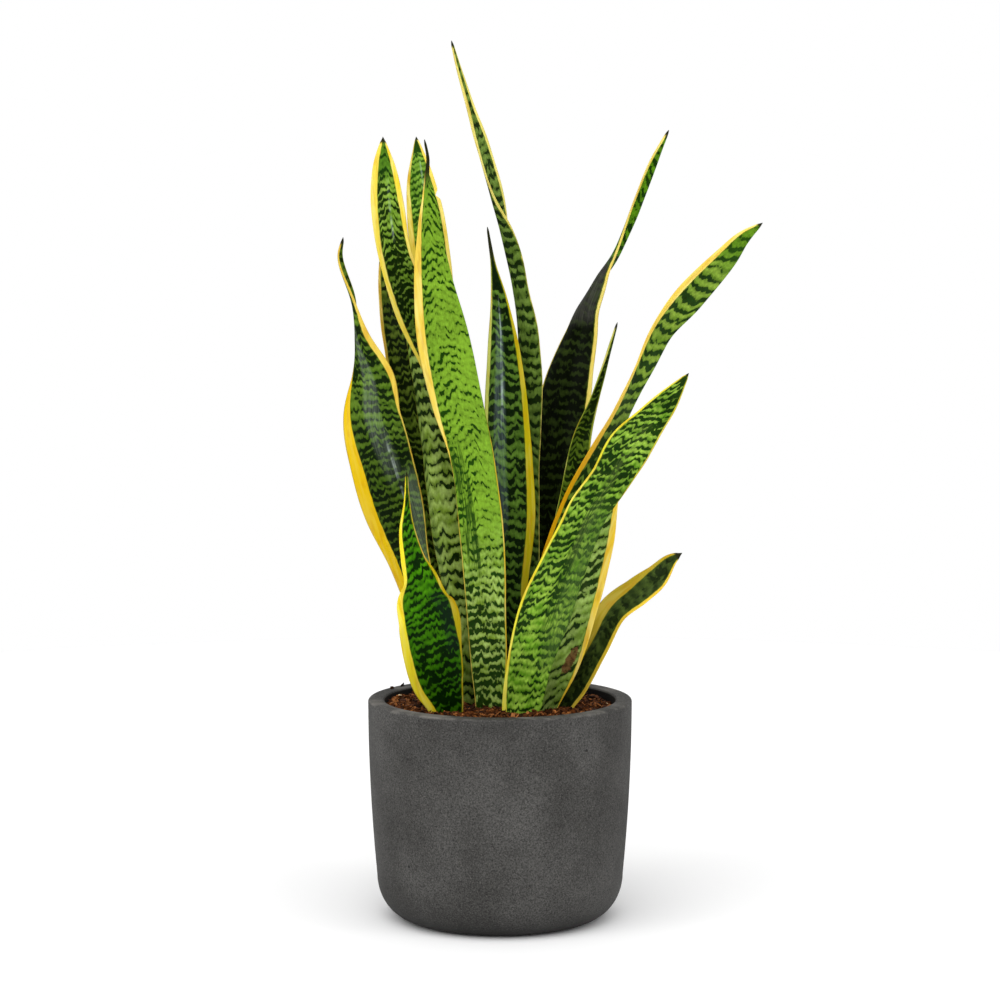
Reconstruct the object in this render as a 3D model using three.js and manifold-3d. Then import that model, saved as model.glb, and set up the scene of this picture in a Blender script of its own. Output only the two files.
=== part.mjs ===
// Potted snake plant: fifteen leaves on a creeping rootstock, in soil, in a round concrete pot.
// Millimetres, +Z up. The origin is the centre of the pot's underside.
// +X is the viewer's right and +Y points away from the viewer.

import * as THREE from 'three';
import { mergeVertices } from 'three/addons/utils/BufferGeometryUtils.js';
import Module from 'manifold-3d';

const wasm = await Module();
wasm.setup();

// Driving dimensions
const GAP = 0.3;                  // between pieces that touch
const HOLE_GAP = 0.5;             // round a leaf's edges, which leaves GAP across its cupped faces
const POT_HEIGHT = 167;
const POT_RADIUS = 100;
const POT_TAPER = 6.4;            // how much narrower the wall is at the top of the bottom corner
const POT_WALL = 12.5;
const POT_FLOOR = 14;
const POT_CORNER = { out: 27, up: 33 };
const INNER_CORNER_OUT = 20;
const POT_SIDES = 48;
const WALL_HEIGHTS = [65, 95, 125];
const RIM_ROUND = 2;
const SOIL_EDGE = 160;            // mean height of the soil where it meets the wall
const SOIL_MOUND = 2.5;           // how much higher its middle stands
const SOIL_SLOPE = { x: -0.012, y: 0.03 };
const SOIL_RELIEF = 0.9;           // height of the soil's lumps
const SOIL_RINGS = [0, 0.2, 0.36, 0.5, 0.64, 0.76, 0.88, 1];
const STEM_RADIUS = 8;
const STEM_SIDES = 8;
const STUB_RADIUS = 5;
const STUB_SIDES = 5;
const FOOT_SOCKET = 4;            // how deep a leaf's foot sits in its stub
const LEAF_EDGE = 1.0;
const LEAF_MIDDLE = 2.8;
const LEAF_FOOT = 5.0;
const LEAF_FOOT_SHARE = 0.25;     // share of a leaf's length over which its foot thins out
const LEAF_TIP_ROUND = 0.7;       // thickness over width where a tip is narrow
const LEAF_WAVE_RATE = 1.7;       // how fast an edge ripples from one row to the next
const LEAF_COLUMNS = 4;           // facets across a leaf
const LEAF_STEPS = 2;             // facets along a leaf between two rows
const BURIED_ROWS = 1.5;          // rows of a leaf that its hole reaches over

// The rootstock creeps through the soil below the leaves.
const STEM_ROUTE = [
  [-56, -20, 108], [-38, -16, 111], [-16, -6, 110], [6, 2, 111], [26, -4, 110], [44, -12, 108],
];

// A leaf's rows run from its foot to its tip: [x, y, z, width, turn, cup].
// Turn is in degrees: at 0 the inner face looks to the viewer, at 90 to the viewer's right.
// Cup is how far the edges stand before the midrib, as a share of the width.
const LEAVES = [
  {
    color: 0x2f6b22,
    wave: 2.0,
    rows: [
      [-43, -13, 128, 12, 180, 0.20], [-44, -12, 160, 17, 180, 0.25],
      [-48, -15, 192.5, 20, 180, 0.22], [-55, -19, 229.5, 25, 180, 0.18],
      [-67.5, -24, 272, 31, 180, 0.15], [-78.5, -29, 309.5, 44.5, 178, 0.13],
      [-88, -35, 346, 47.5, 174, 0.12], [-95.7, -40, 381, 46.5, 166, 0.12],
      [-96, -45, 411, 37.5, 150, 0.14], [-103.6, -50, 441.5, 19, 122, 0.20],
      [-107.5, -54, 468.5, 9, 95, 0.20], [-116.5, -59, 498, 5.5, 60, 0.15],
      [-114, -62, 515.5, 1.6, 40, 0],
    ],
  },
  {
    color: 0x3a7a26,
    wave: 0.6,
    rows: [
      [-13, 2, 126, 12, 0, 0.20], [-10, 4, 160, 18, 0, 0.22], [-8.5, 6, 205, 25.5, 8, 0.18],
      [-11, 6, 260, 29.5, 12, 0.15], [-16.5, 6, 320, 32, 16, 0.13], [-28, 5, 375, 33.5, 18, 0.12],
      [-44, 4, 420, 32.5, 15, 0.11], [-63, 5, 458, 31.5, 12, 0.10],
      [-78.5, 5, 499, 25.5, 14, 0.10], [-84.5, 5, 536, 26, 16, 0.10],
      [-87, 6, 566, 18.5, 16, 0.10], [-87.5, 6, 590, 1.6, 10, 0],
    ],
  },
  {
    color: 0x2c5f22,
    wave: 0.6,
    rows: [
      [-12, 15, 128, 11, 0, 0.20], [-13, 22, 160, 17, -6, 0.22], [-21, 30, 214.5, 25, -14, 0.18],
      [-31, 40, 283.5, 30, -20, 0.15], [-39.5, 49, 354, 34.5, -24, 0.13],
      [-47.5, 58, 424, 37.5, -26, 0.12], [-51, 69, 489.5, 35, -26, 0.12],
      [-55.5, 76, 528.5, 33, -26, 0.12], [-60.7, 82, 559, 23.5, -24, 0.10],
      [-65, 88, 592.5, 1.6, -20, 0],
    ],
  },
  {
    color: 0x55a02c,
    wave: 0.5,
    rows: [
      [-10, -12, 126, 13, 0, 0.20], [-8, -17, 160, 20, 0, 0.22], [-7.8, -18, 194.5, 27, -6, 0.18],
      [-9, -19, 229.5, 30, -12, 0.15], [-12.2, -21, 290, 34, -14, 0.13],
      [-19.5, -23, 349.5, 33, -12, 0.12], [-32, -25, 395, 38, -2, 0.12],
      [-42.5, -27, 440, 39, 6, 0.12], [-50, -29, 484, 29, 10, 0.13],
      [-52.6, -31, 521, 17.7, 12, 0.15], [-52.5, -32, 543.5, 10.4, 10, 0.15],
      [-53.7, -33, 559, 4, 0, 0.10], [-53, -33, 573, 2.4, 0, 0], [-55.5, -34, 587, 1.6, 0, 0],
    ],
  },
  {
    color: 0x1f4a1a,
    wave: 0.6,
    rows: [
      [-34, 12, 128, 11, 0, 0.20], [-36, 17, 160, 17, 8, 0.22], [-46, 28, 237, 24, 18, 0.18],
      [-59.5, 37, 314.5, 29, 26, 0.14], [-70, 44, 375, 31.5, 30, 0.12],
      [-76.5, 49, 425, 29.5, 30, 0.12], [-82, 54, 452, 24.5, 30, 0.10],
      [-86.5, 58, 474.5, 17.5, 28, 0.10], [-92, 62, 500, 1.6, 25, 0],
    ],
  },
  {
    color: 0x6c9a52,
    wave: 0.4,
    rows: [
      [-27, 1, 127, 12, 180, 0.20], [-26, 3, 160, 18, 180, 0.20], [-25, 6, 196, 22.5, 178, 0.16],
      [-28, 9, 238, 28, 172, 0.13], [-36.5, 12, 287.5, 34, 162, 0.13],
      [-42.5, 15, 327.5, 35, 157, 0.13], [-48.5, 19, 369.5, 33, 154, 0.13],
      [-56, 22, 413.5, 29, 155, 0.13], [-64, 25, 447, 22, 158, 0.12],
      [-73, 28, 475, 13, 160, 0.10], [-79, 30, 496.5, 1.6, 160, 0],
    ],
  },
  {
    color: 0x2f5f3a,
    wave: 0.5,
    rows: [
      [8, -3, 127, 12, 0, 0.20], [9, -4, 160, 18, 4, 0.22], [10, -3, 200, 22, 8, 0.20],
      [6.5, -1, 248.5, 27, 12, 0.17], [7, 1, 301.5, 37.5, 15, 0.15],
      [4.7, 2, 347.5, 38.5, 16, 0.14], [3.2, 4, 392.5, 33, 16, 0.15],
      [1.8, 5, 430.5, 25, 15, 0.15], [-1, 6, 467.5, 13.5, 12, 0.15], [-5, 7, 494, 4.5, 8, 0.10],
      [-8, 8, 513, 2.2, 0, 0], [-9.5, 8, 523, 1.6, 0, 0],
    ],
  },
  {
    color: 0x2a7a18,
    wave: 1.2,
    rows: [
      [-39, -25, 128, 13, 0, 0.20], [-40, -32, 163, 25, 0, 0.22], [-47, -36, 186.5, 39, 6, 0.16],
      [-51, -41, 209, 44.5, 10, 0.13], [-53.4, -46, 232.5, 47, 12, 0.12],
      [-57.6, -50, 248, 40.5, 12, 0.12], [-59.1, -54, 263.5, 27.3, 12, 0.12],
      [-64.3, -57, 279, 18.8, 10, 0.12], [-68.1, -63, 301, 12, 8, 0.12],
      [-68, -69, 323.5, 4.5, 0, 0.10], [-68, -74, 345.5, 1.6, 0, 0],
    ],
  },
  {
    color: 0x4c7d3c,
    wave: 0.3,
    rows: [
      [16, 9, 127, 12, 180, 0.20], [15, 11, 160, 18, 175, 0.22], [15, 12, 208, 24, 168, 0.20],
      [16, 15, 270, 26, 162, 0.20], [16.8, 20, 340, 24.4, 156, 0.20],
      [19.5, 25, 399.5, 24, 150, 0.20], [19, 28, 439.5, 21, 140, 0.20],
      [12.3, 32, 477.5, 19, 126, 0.22], [4, 35, 510, 18, 114, 0.36],
      [-4.6, 38, 542, 16, 68, 0.36], [-14.2, 42, 581.5, 15, 48, 0.20],
      [-22.8, 46, 612, 9.5, 45, 0.15], [-31.5, 49, 642.5, 5, 45, 0.10],
      [-37, 52, 664, 1.6, 45, 0],
    ],
  },
  {
    color: 0x1c3a18,
    wave: 0.4,
    rows: [
      [27, 14, 128, 12, 180, 0.20], [27, 20, 160, 20, 178, 0.22], [29, 25, 206, 33.5, 168, 0.16],
      [37, 35, 267, 44, 162, 0.13], [44, 45, 329.5, 45, 157, 0.11],
      [46.5, 54, 375.5, 43, 155, 0.11], [51, 59, 405.5, 41, 152, 0.12],
      [59.5, 65, 436.5, 30.5, 150, 0.15], [64.3, 70, 459.5, 26, 130, 0.20],
      [75, 74, 482.5, 20, 100, 0.30], [90, 79, 505, 12, 75, 0.25],
      [106.5, 87, 544, 10.5, 45, 0.20], [117.5, 92, 570.5, 9, 40, 0.15],
      [131.5, 98, 598, 1.6, 40, 0],
    ],
  },
  {
    color: 0x2d5a1e,
    wave: 0.3,
    rows: [
      [33, 5, 128, 10, 0, 0.20], [34, 8, 160, 13, -5, 0.25], [37, 11, 208.5, 18.5, -10, 0.20],
      [47, 17, 270, 21.5, -12, 0.20], [56.5, 21, 316.5, 22, -8, 0.20],
      [62, 26, 361, 14.5, 0, 0.20], [71.5, 29, 392, 7.5, 20, 0.20],
      [81, 33, 422.5, 5, 50, 0.10], [89.5, 36, 450.5, 1.6, 50, 0],
    ],
  },
  {
    color: 0x4f8f2c,
    wave: 0.5,
    rows: [
      [22, -9, 127, 12, 0, 0.20], [22, -12, 160, 18, -5, 0.22], [27, -11, 211, 24.5, -12, 0.18],
      [45, -8, 271.5, 28, -15, 0.15], [61.5, -3, 317.5, 27, -5, 0.13],
      [77.5, 3, 355, 21, 15, 0.13], [91, 8, 386, 17.5, 45, 0.15], [105.9, 14, 415, 20, 42, 0.15],
      [122, 22, 445.5, 20.5, 25, 0.13], [144.3, 29, 471, 23, 8, 0.12],
      [170, 37, 497.5, 18, 0, 0.12], [184.7, 42, 514, 11, 0, 0.10], [200.5, 46, 526, 1.6, 0, 0],
    ],
  },
  {
    color: 0x4fa02a,
    wave: 0.8,
    rows: [
      [14, -22, 126, 14, 0, 0.20], [15.5, -29, 160, 28, 0, 0.20], [22.3, -36, 201, 33.5, 0, 0.15],
      [34, -45, 240, 39, -5, 0.12], [49, -56, 278.5, 34, -12, 0.12],
      [58, -62, 300.5, 30.5, -12, 0.12], [65.5, -67, 318, 29.5, -8, 0.10],
      [80, -73, 340, 29, 0, 0.10], [93.5, -81, 364, 32, 0, 0.10],
      [109, -87, 384, 23.5, 0, 0.10], [121, -92, 399, 16.5, 0, 0.10],
      [135.5, -98, 418.5, 1.6, 0, 0],
    ],
  },
  {
    color: 0x5b8f3a,
    wave: 0.4,
    rows: [
      [35, -14, 128, 12, 0, 0.20], [32.5, -19, 160, 18, 8, 0.22],
      [43.3, -24, 199.5, 32, 14, 0.18], [54, -30, 245.5, 39, 18, 0.15],
      [64, -36, 284, 38, 20, 0.14], [72, -40, 311, 29.5, 20, 0.13],
      [81.5, -43, 334, 14.5, 18, 0.10], [88, -46, 351, 1.6, 15, 0],
    ],
  },
  {
    color: 0x2c4a20,
    wave: 0.5,
    rows: [
      [44, -7, 128, 12, -15, 0.22], [46, -9, 158, 17, -18, 0.28], [58, -12, 180, 22, -20, 0.30],
      [72, -18, 208.5, 23, -20, 0.30], [85, -23, 236, 22.5, -15, 0.30],
      [102.7, -27, 251.5, 21.5, -10, 0.28], [115.7, -29, 262.5, 19, -5, 0.22],
      [126, -32, 275, 11, 0, 0.15], [135.5, -34, 281.5, 1.6, 0, 0],
    ],
  },
];

// Turns a closed geometry into a solid that can be joined and cut.
function solidOf(geometry) {
  const bare = geometry.clone();
  bare.deleteAttribute('normal');
  bare.deleteAttribute('uv');
  const merged = mergeVertices(bare, 1e-4);
  return new wasm.Manifold(new wasm.Mesh({
    numProp: 3,
    vertProperties: new Float32Array(merged.attributes.position.array),
    triVerts: new Uint32Array(merged.index.array),
  }));
}

// Keeps the largest body of a solid, and drops loose scraps that a cut leaves.
function mainBody(solid) {
  const bodies = solid.decompose();
  return bodies.reduce((best, body) => (body.volume() > best.volume() ? body : best));
}

function geometryOf(solid) {
  const { vertProperties, triVerts, numProp } = solid.getMesh();
  const geometry = new THREE.BufferGeometry();
  geometry.setAttribute('position', new THREE.BufferAttribute(vertProperties, numProp));
  geometry.setIndex(new THREE.BufferAttribute(triVerts, 1));
  geometry.computeVertexNormals();
  return geometry;
}

// Points of a quarter ellipse from one angle to another, both in quarter turns.
function quarterArc(centerX, centerY, radiusX, radiusY, from, to, steps) {
  const points = [];
  for (let i = 0; i <= steps; i += 1) {
    const angle = (from + ((to - from) * i) / steps) * (Math.PI / 2);
    const x = centerX + radiusX * Math.cos(angle);
    points.push(new THREE.Vector2(x, centerY + radiusY * Math.sin(angle)));
  }
  return points;
}

// Radius of the pot's outer wall above the bottom corner.
function wallRadius(z) {
  const down = (POT_HEIGHT - z) / (POT_HEIGHT - POT_CORNER.up);
  return POT_RADIUS - POT_TAPER * down * down;
}

// The pot's section, from the centre of its underside round the rim to the centre of its floor.
function potProfile() {
  const cornerRadius = wallRadius(POT_CORNER.up);
  const rimInner = POT_RADIUS - POT_WALL;
  const outerCorner = quarterArc(
    cornerRadius - POT_CORNER.out, POT_CORNER.up, POT_CORNER.out, POT_CORNER.up, -1, 0, 5,
  );
  const outerWall = WALL_HEIGHTS.map((z) => new THREE.Vector2(wallRadius(z), z));
  const rimOuter = quarterArc(
    POT_RADIUS - RIM_ROUND, POT_HEIGHT - RIM_ROUND, RIM_ROUND, RIM_ROUND, 0, 1, 2,
  );
  const rimInside = quarterArc(
    rimInner + RIM_ROUND, POT_HEIGHT - RIM_ROUND, RIM_ROUND, RIM_ROUND, 1, 2, 2,
  );
  return [
    new THREE.Vector2(0, 0),
    ...outerCorner,
    ...outerWall,
    ...rimOuter,
    ...rimInside,
    ...innerProfile(0),
  ];
}

// The inside of the pot from below the rim to the centre of the floor, moved in by a clearance.
function innerProfile(clearance) {
  const cornerTop = POT_FLOOR + POT_CORNER.up - POT_WALL;
  const innerWall = WALL_HEIGHTS.map((z) => new THREE.Vector2(wallRadius(z) - POT_WALL - clearance, z));
  const cornerX = wallRadius(cornerTop) - POT_WALL - INNER_CORNER_OUT;
  const corner = quarterArc(
    cornerX, cornerTop, INNER_CORNER_OUT - clearance, cornerTop - POT_FLOOR - clearance, 0, -1, 3,
  );
  return [...innerWall.reverse(), ...corner, new THREE.Vector2(0, POT_FLOOR + clearance)];
}

function lathe(profile, sides) {
  const geometry = new THREE.LatheGeometry(profile, sides);
  return geometry.rotateX(Math.PI / 2);
}

function potGeometry() {
  return geometryOf(solidOf(lathe(potProfile(), POT_SIDES)));
}

// Height of the soil: a low mound with small lumps, a little higher at the back left.
function soilHeight(x, y) {
  const edge = POT_RADIUS - POT_WALL;
  const mound = SOIL_MOUND * (1 - (x * x + y * y) / (edge * edge));
  const slope = SOIL_SLOPE.x * x + SOIL_SLOPE.y * y;
  const lumps = Math.sin(x * 0.31 + 1.3 * Math.sin(y * 0.17)) + Math.sin(y * 0.37 - 0.11 * x + 2);
  return SOIL_EDGE + mound + slope + SOIL_RELIEF * 0.5 * lumps;
}

// The soil without its holes: it fills the pot up to the mound.
function soilBlock() {
  const edge = POT_RADIUS - POT_WALL - GAP;
  const surface = SOIL_RINGS.map((share) => new THREE.Vector2(share * edge, POT_HEIGHT));
  const profile = [...surface, ...innerProfile(GAP)].reverse();
  const geometry = lathe(profile, POT_SIDES);
  const position = geometry.attributes.position;
  for (let i = 0; i < position.count; i += 1) {
    if (position.getZ(i) > POT_HEIGHT - 1) {
      position.setZ(i, soilHeight(position.getX(i), position.getY(i)));
    }
  }
  return solidOf(geometry);
}

// A round rod along a smooth curve through the given points.
function rod(points, radius, sides, steps) {
  const section = new THREE.Shape();
  for (let i = 0; i < sides; i += 1) {
    const angle = (i / sides) * 2 * Math.PI;
    const corner = [radius * Math.cos(angle), radius * Math.sin(angle)];
    if (i === 0) section.moveTo(...corner);
    else section.lineTo(...corner);
  }
  section.closePath();
  const path = new THREE.CatmullRomCurve3(points.map((point) => new THREE.Vector3(...point)));
  return solidOf(new THREE.ExtrudeGeometry(section, { steps, extrudePath: path, bevelEnabled: false }));
}

// The creeping stem with one stub up to the foot of each leaf, grown by a clearance.
function rootstock(clearance) {
  const route = STEM_ROUTE.map(([x, y, z]) => [x + Math.sign(x) * clearance, y, z]);
  let solid = rod(route, STEM_RADIUS + clearance, STEM_SIDES, 6);
  const stem = new THREE.CatmullRomCurve3(STEM_ROUTE.map((point) => new THREE.Vector3(...point)));
  const stations = stem.getPoints(60);
  for (const { rows } of LEAVES) {
    const foot = new THREE.Vector3(...rows[0]);
    const up = new THREE.Vector3(...rows[1]).sub(foot).normalize();
    const top = foot.clone().addScaledVector(up, FOOT_SOCKET + clearance);
    const start = stations.reduce((best, point) => (
      point.distanceTo(foot) < best.distanceTo(foot) ? point : best));
    solid = solid.add(rod([start.toArray(), top.toArray()], STUB_RADIUS + clearance, STUB_SIDES, 1));
  }
  return solid;
}

// Places on a leaf: the centre line, its width, turn and cup at a share t of its rows.
function leafCurves(rows) {
  const centre = rows.map(([x, y, z]) => new THREE.Vector3(x, y, z));
  const form = rows.map(([, , , width, turn, cup]) => new THREE.Vector3(width, turn, cup * 100));
  return {
    centre: new THREE.CatmullRomCurve3(centre, false, 'catmullrom', 0.5),
    form: new THREE.CatmullRomCurve3(form, false, 'catmullrom', 0.5),
  };
}

// The axes of a leaf's section: across to its right edge, and out of its inner face.
function sectionAxes(tangent, turn) {
  const toViewer = new THREE.Vector3(0, -1, 0);
  const face = toViewer.addScaledVector(tangent, -toViewer.dot(tangent)).normalize();
  const side = new THREE.Vector3().crossVectors(tangent, face);
  const angle = THREE.MathUtils.degToRad(turn);
  return {
    normal: face.clone().multiplyScalar(Math.cos(angle)).addScaledVector(side, Math.sin(angle)),
    across: side.clone().multiplyScalar(Math.cos(angle)).addScaledVector(face, -Math.sin(angle)),
  };
}

// Half the thickness of a leaf at a share t along it and u across it.
function halfThickness(t, u, width) {
  const footShare = 1 - THREE.MathUtils.smoothstep(t, 0, LEAF_FOOT_SHARE);
  const middle = Math.min(LEAF_MIDDLE + (LEAF_FOOT - LEAF_MIDDLE) * footShare, width * LEAF_TIP_ROUND);
  const edge = Math.min(LEAF_EDGE, middle);
  return (edge + (middle - edge) * (1 - u * u)) / 2;
}

// One closed leaf, from its foot up to the share end of its rows, grown by a clearance.
function leafGeometry({ rows, wave }, end, clearance) {
  const { centre, form } = leafCurves(rows);
  const rings = Math.round((rows.length - 1) * LEAF_STEPS * end);
  const ringSize = 2 * (LEAF_COLUMNS + 1);
  const positions = [];
  for (let i = 0; i <= rings; i += 1) {
    const t = (i / rings) * end;
    const { x: width, y: turn, z: cupPercent } = form.getPoint(t);
    const middle = centre.getPoint(t);
    const tangent = centre.getTangent(t);
    if (i === 0) middle.addScaledVector(tangent, -clearance);
    const { normal, across } = sectionAxes(tangent, turn);
    const ripple = wave * Math.sin(t * rows.length * LEAF_WAVE_RATE + rows[0][0]);
    const front = [];
    const back = [];
    for (let j = 0; j <= LEAF_COLUMNS; j += 1) {
      const u = (2 * j) / LEAF_COLUMNS - 1;
      const lift = width * (cupPercent / 100) * u * u + ripple * u ** 3 * Math.sin(Math.PI * t);
      const point = middle.clone().addScaledVector(across, (width / 2 + clearance) * u);
      point.addScaledVector(normal, lift);
      const half = halfThickness(t, u, width) + clearance;
      front.push(point.clone().addScaledVector(normal, half));
      back.unshift(point.clone().addScaledVector(normal, -half));
    }
    for (const point of [...front, ...back]) positions.push(point.x, point.y, point.z);
  }
  const index = [];
  for (let i = 0; i < rings; i += 1) {
    for (let j = 0; j < ringSize; j += 1) {
      const a = i * ringSize + j;
      const b = i * ringSize + ((j + 1) % ringSize);
      const mirrored = j > LEAF_COLUMNS;
      if (mirrored) index.push(a, b, a + ringSize, b, b + ringSize, a + ringSize);
      else index.push(a, b, b + ringSize, a, b + ringSize, a + ringSize);
    }
  }
  const last = rings * ringSize;
  for (let j = 0; j < LEAF_COLUMNS; j += 1) {
    const opposite = ringSize - 1 - j;
    index.push(j, opposite, opposite - 1, j, opposite - 1, j + 1);
    index.push(last + j, last + opposite - 1, last + opposite, last + j, last + j + 1, last + opposite - 1);
  }
  const geometry = new THREE.BufferGeometry();
  geometry.setAttribute('position', new THREE.Float32BufferAttribute(positions, 3));
  geometry.setIndex(index);
  geometry.computeVertexNormals();
  return geometry;
}

function mesh(name, geometry, color, roughness) {
  const material = new THREE.MeshStandardMaterial({ color, roughness, metalness: 0 });
  const result = new THREE.Mesh(geometry, material);
  result.name = name;
  return result;
}

const plant = new THREE.Group();
plant.add(mesh('pot', potGeometry(), 0x4b4b4c, 0.85));

// Only the buried part of each leaf cuts its hole.
const holes = LEAVES.map((leaf) => {
  const end = BURIED_ROWS / (leaf.rows.length - 1);
  return solidOf(leafGeometry(leaf, end, HOLE_GAP));
});

let soil = soilBlock().subtract(rootstock(GAP));
let stock = rootstock(0);
for (const hole of holes) {
  soil = soil.subtract(hole);
  stock = stock.subtract(hole);
}
plant.add(mesh('soil', geometryOf(mainBody(soil)), 0x5a2f1e, 0.95));
plant.add(mesh('rootstock', geometryOf(mainBody(stock)), 0xc9a35a, 0.8));

LEAVES.forEach((leaf, i) => {
  const name = `leaf_${String(i + 1).padStart(2, '0')}`;
  plant.add(mesh(name, leafGeometry(leaf, 1, 0), leaf.color, 0.45));
});

export default plant;
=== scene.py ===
# Potted snake plant: its looks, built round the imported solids.
# The frame is in metres, +Z up, with its origin under the middle of the pot. Lengths here are in
# millimetres, and MM turns them into metres. Only the camera, the lights and the textures of the
# pot, the soil and the rootstock are set in metres.

import math

import bpy
import numpy as np
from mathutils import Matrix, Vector, noise


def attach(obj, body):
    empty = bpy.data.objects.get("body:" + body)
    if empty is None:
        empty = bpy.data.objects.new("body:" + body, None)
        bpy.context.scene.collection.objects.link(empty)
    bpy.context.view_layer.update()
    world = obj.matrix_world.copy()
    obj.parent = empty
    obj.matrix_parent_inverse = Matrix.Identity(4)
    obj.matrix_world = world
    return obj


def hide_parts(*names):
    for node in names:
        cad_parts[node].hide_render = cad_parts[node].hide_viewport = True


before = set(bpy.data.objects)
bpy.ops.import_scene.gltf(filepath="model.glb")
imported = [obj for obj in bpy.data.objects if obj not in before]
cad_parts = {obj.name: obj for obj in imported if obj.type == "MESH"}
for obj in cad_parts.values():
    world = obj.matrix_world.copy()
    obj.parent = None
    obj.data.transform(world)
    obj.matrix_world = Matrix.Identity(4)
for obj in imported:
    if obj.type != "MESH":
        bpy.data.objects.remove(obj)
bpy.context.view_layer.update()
MM = 0.001
SEED = 20

# The pot, as in the solids
POT_HEIGHT = 167
POT_RADIUS = 100
POT_TAPER = 6.4
POT_WALL = 12.5
POT_FLOOR = 14
POT_CORNER_OUT = 27
POT_CORNER_UP = 33
INNER_CORNER_OUT = 20
RIM_ROUND = 2
# The rings of its walls, and how finely it is meshed
OUTER_FOOT = 45
OUTER_TOP = 160
OUTER_RINGS = 14
INNER_TOP = 150
INNER_RINGS = 12
FOOT_STEPS = 16
ARC_STEPS = 8
POT_SIDES = 192
# How much lighter the rim is painted on top, and how much more at its outer edge: partly wear,
# partly painted light from above and a painted highlight along that edge
TOP_WEAR_AND_LIGHT = 0.75
EDGE_WEAR_AND_HIGHLIGHT = 0.6
# Heights on the pot, and how light its concrete is painted there: painted shade, darker towards
# the foot
POT_SHADE_TONES = ((0, 5, 10, 15, 20, 30, 60, 100), (0.4, 0.42, 0.55, 0.68, 0.76, 0.84, 0.91, 0.98))

# The soil, as in the solids, and its gap to the pot
GAP = 0.3
SOIL_EDGE = 160
SOIL_MOUND = 2.5
SOIL_SLOPE = (-0.012, 0.03)
SOIL_RELIEF = 0.9
SOIL_RINGS = 84
SOIL_SIDES = 240
# Its finer relief: how wide the lumps are, their slice of noise and how high they are
CLODS = (13, 3.1, 2.0)
CRUMBS = (4.8, 7.7, 2.3)
GRIT = (2.1, 1.3, 1.1)
# How far crumbs stand out of the soil, and how light it is painted there: painted shade in the
# gaps, painted light on the tops
DAYLIGHT = ((-0.9, -0.1, 1.0), (0.25, 0.85, 1.35))

# Loose chips on the soil, and how far they keep from the pot
CHIPS = 4200
CHIP_MARGIN = 3
# Length, width and thickness of a crumb, a flake and a fibre, and the share of each
CHIP_KINDS = [((2.0, 1.7, 1.4), 0.46), ((4.4, 3.0, 1.2), 0.36), ((6.6, 0.8, 0.7), 0.18)]
CHIP_SCALES = (0.5, 1.25)
CHIP_LIFTS = (-0.2, 0.6)
CHIP_TILT = 0.35
CORNER_SCALES = (0.55, 1.15)
CHIP_CORNERS = [
    (-1, -1, -1), (1, -1, -1), (1, 1, -1), (-1, 1, -1),
    (-1, -1, 1), (1, -1, 1), (1, 1, 1), (-1, 1, 1),
]
CHIP_FACES = [(0, 3, 2, 1), (4, 5, 6, 7), (0, 1, 5, 4), (1, 2, 6, 5), (2, 3, 7, 6), (3, 0, 4, 7)]
RIM_CRUMBS = [(-83.5, 44.0), (-76.0, 56.0)]
RIM_CRUMB_SIZE = (3.4, 2.6, 2.2)
RIM_CRUMB_LIFT = 0.9

# Thickness of a leaf at its edges, in its middle and there at its foot, and the foot's share of
# its length. Where a leaf is narrow, plump is its thickness as a share of its width.
LEAF_EDGE = 1.0
LEAF_MIDDLE = 2.8
LEAF_FOOT = 5.0
LEAF_FOOT_SHARE = 0.25
LEAF_PLUMP = 0.7
# The power that rounds the edges off, the length that the tip narrows over, and where it stops
EDGE_POWER = 14
TIP_ROUND = 4
TIP_LEAST = 0.02
# Slow waves of a leaf's edges, and a finer frill
WAVE_RATE = 1.7
FRILL_HEIGHT = 0.35
FRILL_LENGTH = 7
# A nick in a leaf's plus edge: its place along the leaf, its reach to each side and its depth
NICKS = {"leaf_03": (424, 4, 3.2)}
# Sections from row to row, columns across, and how far these crowd towards the edges
LEAF_STEPS = 18
LEAF_COLUMNS = 26
CROWDING = 0.45

CAMERA_PLACE = (0, -2.2, 0.525)
CAMERA_TILT = 84.62
CAMERA_LENS = 105.48
# The world's light grows from the third of these to the fourth while the height that it comes
# from, where -1 is straight below and 1 straight above, grows from the first to the second
DOME = (-0.1, 0.9, 0.10, 0.95)
# Name, azimuth, elevation, strength and spread, with angles in degrees
SUNS = [("key", -32, 48, 1.26, 60), ("fill", 36, 42, 0.76, 60)]
# Name, azimuth, distance, height, size and power
SOFTBOXES = [("left", -60, 1.8, 0.5, (0.5, 1.3), 6), ("right", 64, 1.8, 0.5, (0.25, 1.3), 5)]
WHITE = (255, 255, 255)
FLOOR_WHITE = (243.445, 243.445, 243.445)
FLOOR_REACH = 1500
FLOOR_SIDES = 96

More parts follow.
